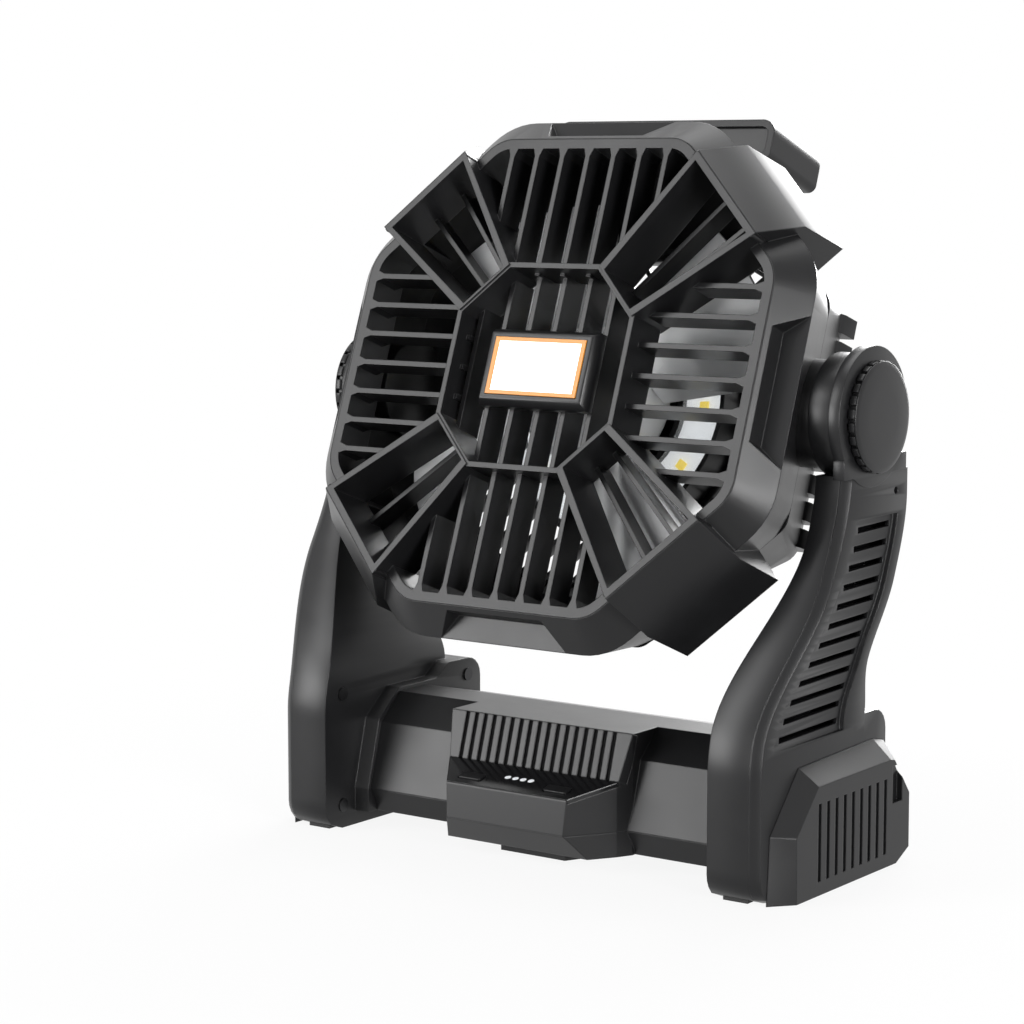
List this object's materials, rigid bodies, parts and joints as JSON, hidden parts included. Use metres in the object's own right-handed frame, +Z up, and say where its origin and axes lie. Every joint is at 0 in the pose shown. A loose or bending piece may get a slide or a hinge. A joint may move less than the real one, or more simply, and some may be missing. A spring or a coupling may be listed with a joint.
{
  "type": "portable camping fan",
  "caption": "Tilting octagonal fan head with a work light, held between two curved arms on a battery base with a folding hook.",
  "frame": {"origin": "on the floor plane, under the tilt axis, in mid-width", "axes": "+Z up, +X to the fan's left as seen from behind (right in a front view), the head faces -Y"},
  "size_m": [0.2442, 0.1513, 0.2722],
  "materials": {
    "dark_shell": "fine satin texture, charcoal black",
    "dark_grille": "fine satin texture, charcoal black",
    "gloss_black": "gloss black",
    "blade_grey": "satin light grey",
    "white_plastic": "white board and moulding",
    "amber_trim": "amber orange",
    "light_lens": "milky white diffuser, glowing",
    "yellow_chip": "yellow light chips",
    "clear_cover": "clear moulded cover",
    "green_board": "green circuit board",
    "steel": "plain steel",
    "black_screw": "blackened steel",
    "motor_steel": "dark plated steel",
    "bearing_steel": "polished bearing steel",
    "brass_bush": "plain brass",
    "cell_wrap": "blue sleeve on a steel can",
    "rubber_black": "matt black rubber",
    "white_dot": "small white light guides"
  },
  "bodies": {
    "stand": {"base_shell": "dark_shell", "base_bottom_cover": "dark_shell", "grip_panel": "dark_shell", "control_panel": "gloss_black", "indicator_dots": "white_dot", "control_board": "green_board", "socket_board": "green_board", "battery_cells": "cell_wrap", "battery_tray": "dark_shell", "usb_c_socket": "steel", "usb_a_socket": "steel", "arm_screws": "black_screw", "base_screws": "black_screw", "rubber_pads": "rubber_black", "hook_pin": "steel", "arm_right": "dark_shell", "arm_left": "dark_shell", "arm_cover_right": "dark_shell", "arm_cover_left": "dark_shell", "foot_block_right": "dark_shell", "foot_block_left": "dark_shell", "pivot_bush_right": "brass_bush", "pivot_bush_left": "brass_bush"},
    "hook": {"hook_frame": "dark_shell"},
    "fan_button": {"fan_button": "dark_grille"},
    "light_button": {"light_button": "dark_grille"},
    "knob_right": {"knob_right": "dark_shell", "knob_cap_right": "dark_shell", "pivot_bolt_right": "steel"},
    "knob_left": {"knob_left": "dark_shell", "knob_cap_left": "dark_shell", "pivot_bolt_left": "steel"},
    "head": {"front_bezel": "dark_shell", "front_grille": "dark_grille", "light_housing": "dark_grille", "light_trim": "amber_trim", "light_lens": "light_lens", "light_board": "white_plastic", "rear_shell": "dark_shell", "rear_grille": "dark_grille", "top_box": "dark_shell", "top_box_panel": "dark_grille", "motor_mount": "dark_shell", "ring_light_board": "white_plastic", "ring_light_chips": "yellow_chip", "ring_light_cover": "clear_cover", "motor_housing": "motor_steel", "motor_bearing_front": "bearing_steel", "motor_bearing_rear": "bearing_steel", "pivot_boss_right": "dark_shell", "pivot_boss_left": "dark_shell", "head_screws": "black_screw"},
    "rotor": {"impeller": "blade_grey", "motor_shaft": "steel", "hub_cap": "white_plastic"}
  },
  "joints": [
    {"name": "head_tilt", "type": "hinge", "parent": "stand", "child": "head", "pos_m": [0, 0, 0.1672], "axis": [-1, 0, 0], "range_deg": [-155.45, 114.55]},
    {"name": "fan_spin", "type": "hinge", "parent": "head", "child": "rotor", "pos_m": [0, 0, 0.1672], "axis": [0, -0.937, 0.3494], "continuous": true},
    {"name": "hook_fold", "type": "hinge", "parent": "stand", "child": "hook", "pos_m": [0, 0.017, 0.0034], "axis": [1, 0, 0], "range_deg": [0, 90]},
    {"name": "right_knob_turn", "type": "hinge", "parent": "stand", "child": "knob_right", "pos_m": [0.119, 0, 0.1672], "axis": [1, 0, 0], "range_deg": [-180, 180]},
    {"name": "left_knob_turn", "type": "hinge", "parent": "stand", "child": "knob_left", "pos_m": [-0.119, 0, 0.1672], "axis": [-1, 0, 0], "range_deg": [-180, 180]},
    {"name": "fan_button_press", "type": "slide", "parent": "stand", "child": "fan_button", "axis": [0, 0.28, -0.96], "range_m": [0, 0.0005], "stiffness_N_per_m": 900},
    {"name": "light_button_press", "type": "slide", "parent": "stand", "child": "light_button", "axis": [0, 0.28, -0.96], "range_m": [0, 0.0005], "stiffness_N_per_m": 900}
  ]
}
